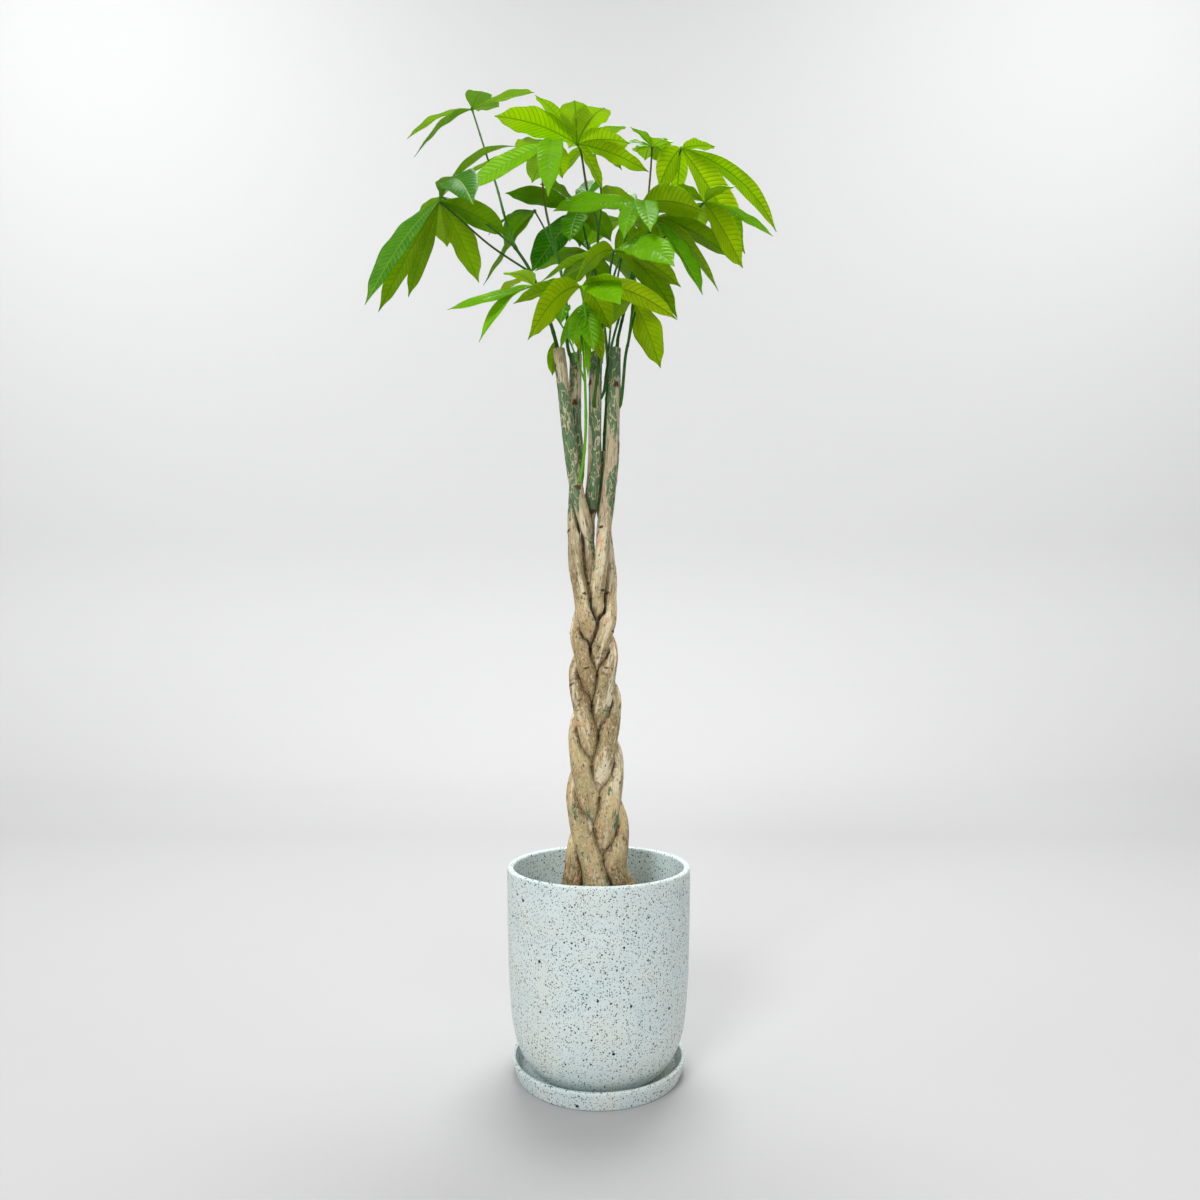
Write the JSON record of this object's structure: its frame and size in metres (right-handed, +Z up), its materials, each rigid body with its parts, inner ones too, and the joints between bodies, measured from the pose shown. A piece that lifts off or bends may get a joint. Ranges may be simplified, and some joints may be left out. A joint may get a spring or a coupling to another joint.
{
  "type": "potted money tree",
  "caption": "Potted money tree: plaited woody trunks with long leafy shoots and hand-shaped leaves, in a tall rounded speckled stone-look pot standing on its saucer",
  "frame": {"origin": "the middle of the flat underside of the saucer, where the part stands", "axes": "+Z up along the trunks; -Y is the side that the picture shows; +X to the right of that view"},
  "size_m": [0.6308, 0.3907, 1.6002],
  "materials": {
    "saucer": "matte pale blue-grey cast stone with small dark specks",
    "pot": "matte pale blue-grey cast stone with small dark specks",
    "soil": "rough dark potting mix with bark chips",
    "bark": "dry tan bark with green patches and scars",
    "foliage": "glossy green leaves, yellow-green below"
  },
  "bodies": {
    "root": {"saucer": "saucer", "pot": "pot", "soil": "soil", "trunk_a": "bark", "trunk_b": "bark", "trunk_c": "bark", "trunk_d": "bark", "trunk_e": "bark", "shoot_left": "foliage", "shoot_upper_left": "foliage", "shoot_front": "foliage", "shoot_top": "foliage", "shoot_middle": "foliage", "shoot_right_inner": "foliage", "shoot_right": "foliage", "shoot_right_outer": "foliage", "shoot_back": "foliage"}
  },
  "joints": []
}
